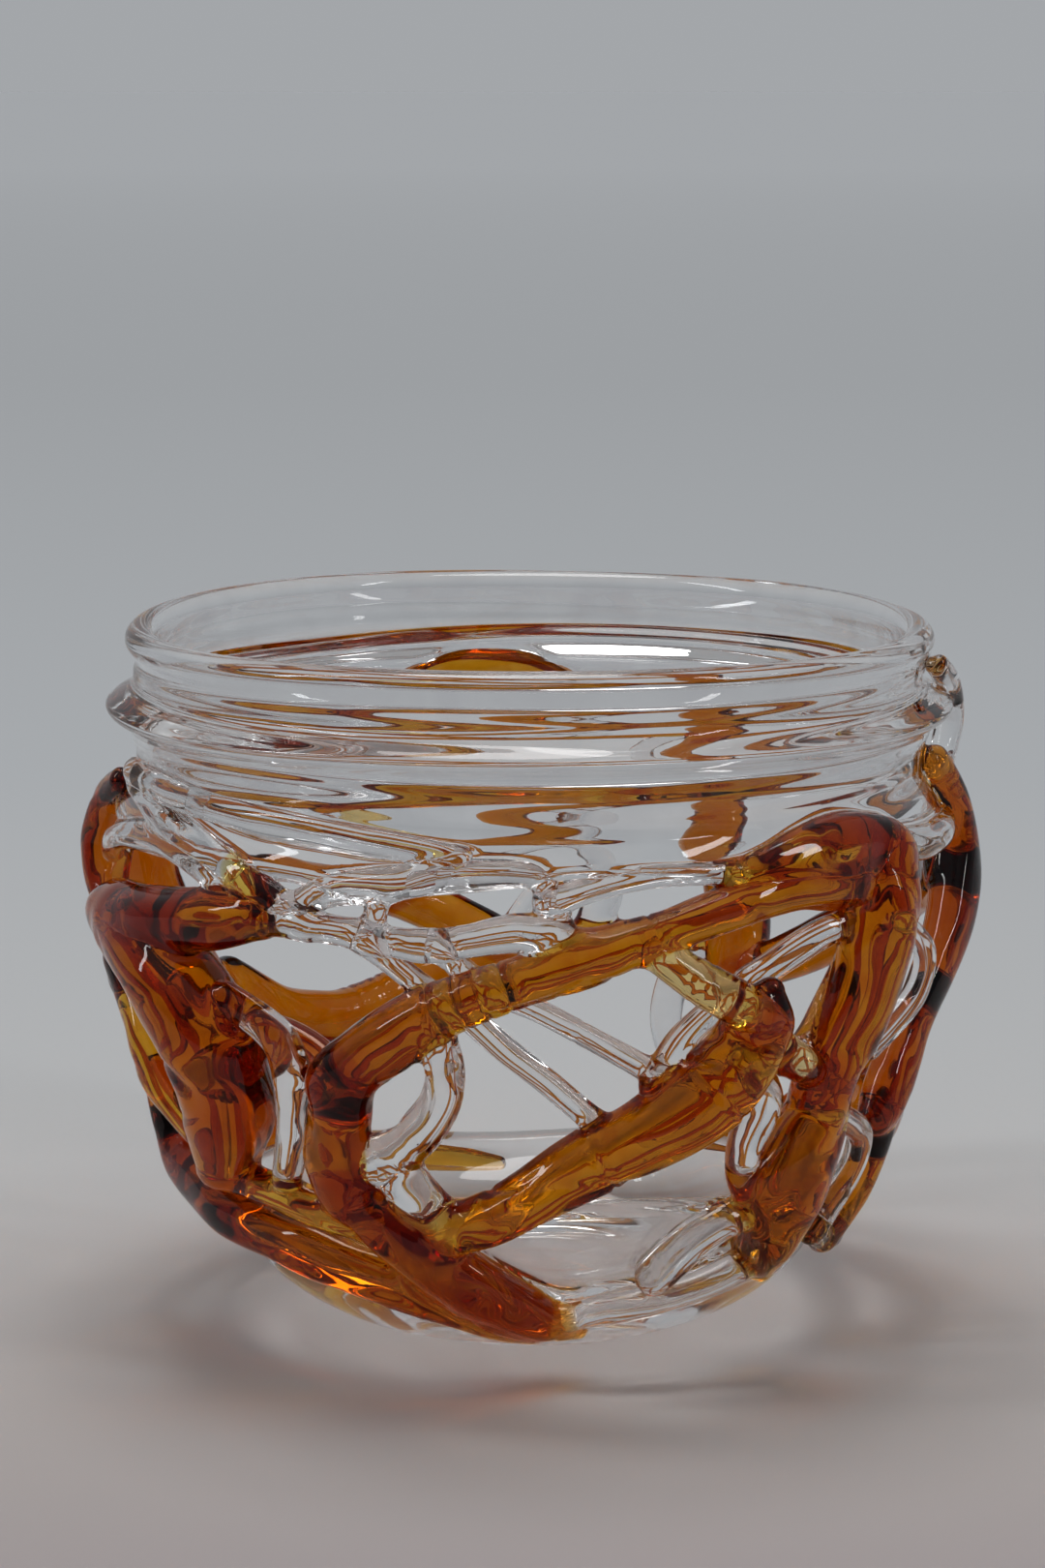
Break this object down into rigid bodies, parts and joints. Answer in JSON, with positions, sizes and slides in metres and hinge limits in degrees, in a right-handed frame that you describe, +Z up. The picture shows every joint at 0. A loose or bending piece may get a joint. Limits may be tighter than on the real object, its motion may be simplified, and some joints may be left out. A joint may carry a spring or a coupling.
{
  "type": "art glass bowl",
  "caption": "Round art glass bowl: clear blown neck on an openwork lattice of fused amber and clear glass canes over a thick clear dish.",
  "frame": {"origin": "centre of the flat foot, on the surface that the bowl stands on", "axes": "+Z up through the mouth, -Y the front, where the rim of the dish is highest"},
  "size_m": [0.1369, 0.132, 0.105],
  "materials": {
    "clear_glass": "clear, fire-polished",
    "amber_glass": "clear amber, fire-polished, darker where it is thick",
    "honey_glass": "clear pale honey, fire-polished",
    "gold_glass": "clear light amber, fire-polished",
    "ember_glass": "clear red-brown, fire-polished, near black where it is thick"
  },
  "bodies": {
    "root": {"lip_ring": "clear_glass", "neck_wall": "clear_glass", "neck_bead": "clear_glass", "shoulder_skirt": "clear_glass", "base_dish": "clear_glass", "front_rail": "amber_glass", "shoulder_arm": "gold_glass", "right_column": "amber_glass", "right_leaf": "amber_glass", "sweep": "amber_glass", "dark_bud": "ember_glass", "left_post": "amber_glass", "lower_diagonal": "amber_glass", "lower_left_rail": "amber_glass", "lower_left_inner": "gold_glass", "left_crown": "amber_glass", "left_mass": "amber_glass", "inner_tie": "ember_glass", "left_outer": "gold_glass", "left_heel": "ember_glass", "far_left_arch": "ember_glass", "right_outer_upper": "ember_glass", "right_outer_lower": "amber_glass", "left_drip": "gold_glass", "back_arch": "amber_glass", "back_rail": "amber_glass", "back_diagonal": "amber_glass", "back_column": "amber_glass", "back_sweep": "amber_glass", "back_left_column": "amber_glass", "back_low_right": "amber_glass", "back_low_left": "amber_glass", "right_side_arm": "amber_glass", "right_side_loop": "amber_glass", "back_girdle": "amber_glass", "back_crown": "amber_glass", "left_side_arm": "amber_glass", "yellow_bridge": "honey_glass", "pale_heel": "honey_glass", "back_honey_tie": "honey_glass", "hairpin_upper": "clear_glass", "hairpin_lower": "clear_glass", "oval_rim": "clear_glass", "girdles": "clear_glass", "link": "clear_glass", "fine_rods": "clear_glass", "long_brace": "clear_glass", "short_brace": "clear_glass", "hooks": "clear_glass", "hook_foot": "clear_glass", "toe": "clear_glass", "toe_rails": "clear_glass", "left_shoulder_a": "clear_glass", "left_shoulder_b": "clear_glass", "left_edge": "clear_glass", "loops": "clear_glass", "right_sliver": "clear_glass", "right_fold": "clear_glass", "folds": "clear_glass", "right_tie": "clear_glass"}
  },
  "joints": []
}
